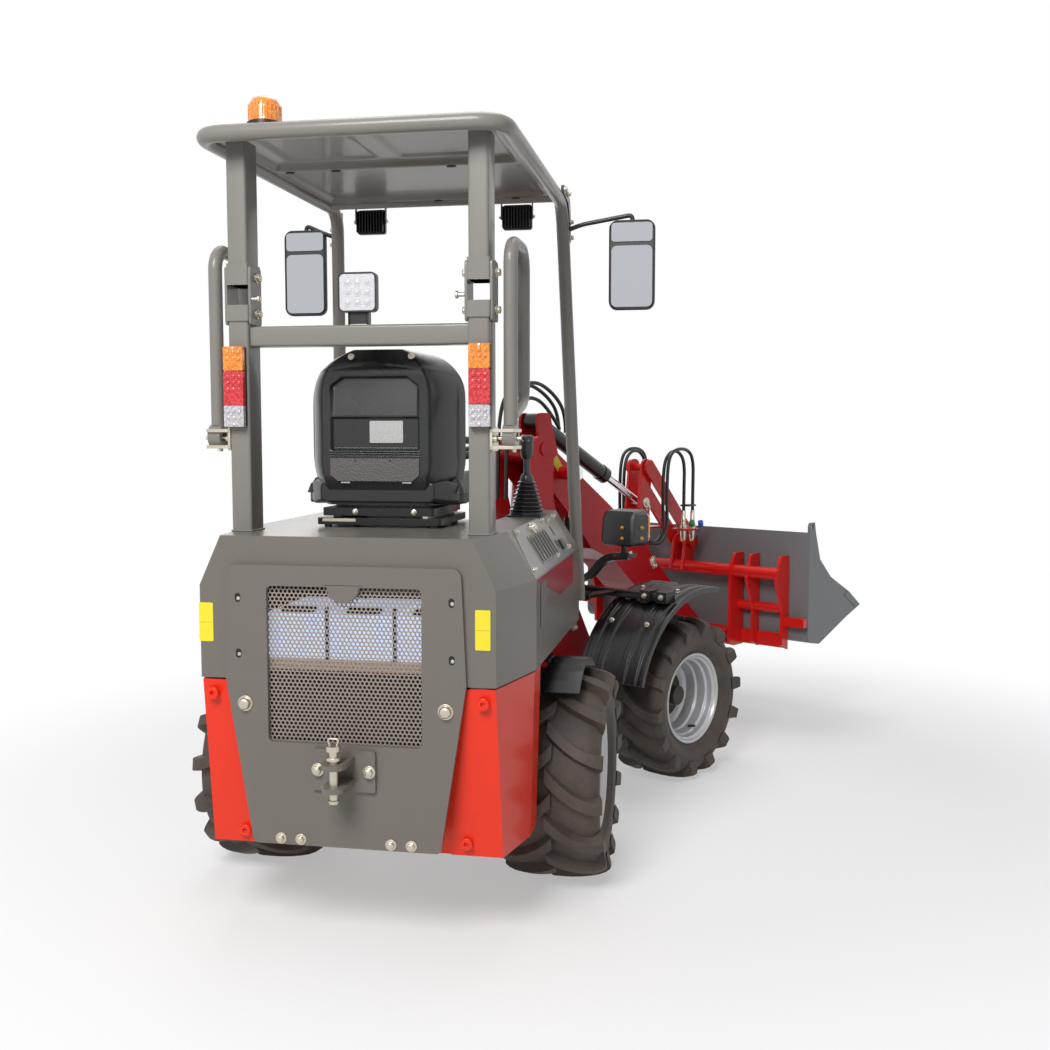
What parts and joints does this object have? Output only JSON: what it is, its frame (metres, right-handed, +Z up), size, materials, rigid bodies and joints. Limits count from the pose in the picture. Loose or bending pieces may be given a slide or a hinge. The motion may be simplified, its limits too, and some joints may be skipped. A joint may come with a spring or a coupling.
{
  "type": "compact electric wheel loader",
  "caption": "Compact articulated electric wheel loader with roof frame, driver's seat, lift arm with tilt linkage, tool carrier and bucket, on lugged tyres.",
  "frame": {"origin": "on the ground under the middle of the parked machine's bounding box", "axes": "+X forward along the rear frame, +Y left, +Z up; the front frame rests turned 31.4 degrees to the right"},
  "size_m": [3.336, 2.0183, 2.056],
  "materials": {
    "frame_red": "gloss paint",
    "body_red": "gloss paint",
    "carrier_red": "gloss paint",
    "axle_black": "black paint",
    "battery_blue": "pale blue cases",
    "cover_grey": "satin grey paint",
    "grille_steel": "perforated sheet",
    "zinc_steel": "zinc plated",
    "post_grey": "satin grey paint",
    "dark_steel": "dark grey paint",
    "amber_lens": "amber lens",
    "lamp_lens": "red, amber and clear lens",
    "lamp_black": "black housing",
    "black_plastic": "moulded",
    "black_steel": "black paint",
    "seat_vinyl": "black vinyl and moulded shell",
    "black_rubber": "moulded rubber",
    "tread_plate": "black tread plate",
    "cylinder_black": "black paint",
    "rod_chrome": "polished",
    "bucket_grey": "grey paint",
    "tyre_rubber": "lugged tyre",
    "rim_silver": "silver paint"
  },
  "bodies": {
    "rear_frame": {"rear_chassis": "frame_red", "rear_axle": "axle_black", "battery_pack": "battery_blue", "body_cover": "cover_grey", "side_boxes": "body_red", "rear_plate": "cover_grey", "grille": "grille_steel", "tow_bracket": "zinc_steel", "tow_pin": "zinc_steel", "rops_lower": "post_grey", "rops_hinges": "dark_steel", "rops_upper": "post_grey", "roof_panel": "post_grey", "beacon": "amber_lens", "tail_lamps": "lamp_lens", "work_lamp_rear": "lamp_black", "work_lamps_front": "lamp_black", "mirrors": "black_plastic", "seat_base": "black_steel", "seat_cushion": "seat_vinyl", "seat_back": "seat_vinyl", "steering_column": "black_steel", "steering_wheel": "black_rubber", "joystick": "black_rubber", "floor_plate": "tread_plate", "rear_fenders": "black_plastic", "bar_brackets": "zinc_steel"},
    "bar_left": {"safety_bar_left": "post_grey"},
    "bar_right": {"safety_bar_right": "post_grey"},
    "front_frame": {"front_chassis": "body_red", "front_axle": "axle_black", "front_fenders": "black_plastic", "lamp_arms": "black_steel", "headlamps": "lamp_black"},
    "boom_arm": {"boom": "body_red"},
    "lever": {"tilt_lever": "body_red"},
    "link": {"tilt_link": "body_red"},
    "tilt_cylinder": {"tilt_barrel": "cylinder_black"},
    "tilt_piston": {"tilt_rod": "rod_chrome"},
    "lift_cylinders": {"lift_barrels": "cylinder_black"},
    "lift_pistons": {"lift_rods": "rod_chrome"},
    "steer_cylinder": {"steer_barrel": "cylinder_black"},
    "steer_piston": {"steer_rod": "rod_chrome"},
    "carrier": {"tool_carrier": "carrier_red", "bucket": "bucket_grey", "bucket_ears": "bucket_grey"},
    "wheel_rear_left": {"tyre_rear_left": "tyre_rubber", "rim_rear_left": "rim_silver"},
    "wheel_rear_right": {"tyre_rear_right": "tyre_rubber", "rim_rear_right": "rim_silver"},
    "wheel_front_left": {"tyre_front_left": "tyre_rubber", "rim_front_left": "rim_silver"},
    "wheel_front_right": {"tyre_front_right": "tyre_rubber", "rim_front_right": "rim_silver"}
  },
  "joints": [
    {"name": "steering", "type": "hinge", "parent": "rear_frame", "child": "front_frame", "pos_m": [-0.2, 0.437, 0.45], "axis": [0, 0, 1], "range_deg": [-10.6, 73.4]},
    {"name": "boom_raise", "type": "hinge", "parent": "front_frame", "child": "boom_arm", "pos_m": [0.01339, 0.30675, 1.19], "axis": [-0.521, -0.8536, 0], "range_deg": [-18, 80]},
    {"name": "bucket_tilt", "type": "hinge", "parent": "boom_arm", "child": "carrier", "pos_m": [0.90108, -0.2351, 0.396], "axis": [0.521, 0.8536, 0], "range_deg": [-25, 63.5]},
    {"name": "lever_turn", "type": "hinge", "parent": "boom_arm", "child": "lever", "pos_m": [0.61941, -0.06317, 0.725], "axis": [0.521, 0.8536, 0], "range_deg": [-25.5, 64]},
    {"name": "link_turn", "type": "hinge", "parent": "lever", "child": "link", "pos_m": [0.64502, -0.0788, 1.105], "axis": [0.521, 0.8536, 0], "range_deg": [-64, 25.5]},
    {"name": "tilt_barrel_swing", "type": "hinge", "parent": "boom_arm", "child": "tilt_cylinder", "pos_m": [0.08167, 0.26507, 1.29], "axis": [0.521, 0.8536, 0], "range_deg": [-2, 3]},
    {"name": "tilt_rod_slide", "type": "slide", "parent": "tilt_cylinder", "child": "tilt_piston", "axis": [0.7613, -0.4647, -0.4522], "range_m": [-0.1, 0.245]},
    {"name": "lift_barrel_swing", "type": "hinge", "parent": "front_frame", "child": "lift_cylinders", "pos_m": [0.08167, 0.26507, 0.56], "axis": [-0.521, -0.8536, 0], "range_deg": [-2, 4]},
    {"name": "lift_rod_slide", "type": "slide", "parent": "lift_cylinders", "child": "lift_pistons", "axis": [0.0787, -0.048, 0.9957], "range_m": [-0.05, 0.21]},
    {"name": "steer_barrel_swing", "type": "hinge", "parent": "rear_frame", "child": "steer_cylinder", "pos_m": [-0.62, 0.652, 0.425], "axis": [0, 0, 1], "range_deg": [-2, 9]},
    {"name": "steer_rod_slide", "type": "slide", "parent": "steer_cylinder", "child": "steer_piston", "axis": [0.9818, -0.1899, 0], "range_m": [-0.215, 0.035]},
    {"name": "bar_left_swing", "type": "hinge", "parent": "rear_frame", "child": "bar_left", "pos_m": [-1.415, 0.809, 1.24], "axis": [0, 1, 0], "range_deg": [0, 88]},
    {"name": "bar_right_swing", "type": "hinge", "parent": "rear_frame", "child": "bar_right", "pos_m": [-1.415, 0.065, 1.24], "axis": [0, 1, 0], "range_deg": [0, 88]},
    {"name": "wheel_rear_left_spin", "type": "hinge", "parent": "rear_frame", "child": "wheel_rear_left", "pos_m": [-0.935, 0.901, 0.292], "axis": [0, 1, 0], "continuous": true},
    {"name": "wheel_rear_right_spin", "type": "hinge", "parent": "rear_frame", "child": "wheel_rear_right", "pos_m": [-0.935, -0.027, 0.292], "axis": [0, 1, 0], "continuous": true},
    {"name": "wheel_front_left_spin", "type": "hinge", "parent": "front_frame", "child": "wheel_front_left", "pos_m": [0.54108, 0.52826, 0.292], "axis": [0.521, 0.8536, 0], "continuous": true},
    {"name": "wheel_front_right_spin", "type": "hinge", "parent": "front_frame", "child": "wheel_front_right", "pos_m": [0.05758, -0.26384, 0.292], "axis": [0.521, 0.8536, 0], "continuous": true}
  ],
  "couplings": [
    {"joint": "lever_turn", "follows": "bucket_tilt", "ratio": 1},
    {"joint": "link_turn", "follows": "bucket_tilt", "ratio": -1},
    {"joint": "tilt_barrel_swing", "follows": "bucket_tilt", "ratio": 0.03},
    {"joint": "tilt_rod_slide", "follows": "bucket_tilt", "m_per_rad": 0.215},
    {"joint": "lift_barrel_swing", "follows": "boom_raise", "ratio": 0.03},
    {"joint": "lift_rod_slide", "follows": "boom_raise", "m_per_rad": 0.145},
    {"joint": "steer_barrel_swing", "follows": "steering", "ratio": 0.11},
    {"joint": "steer_rod_slide", "follows": "steering", "m_per_rad": -0.165}
  ]
}
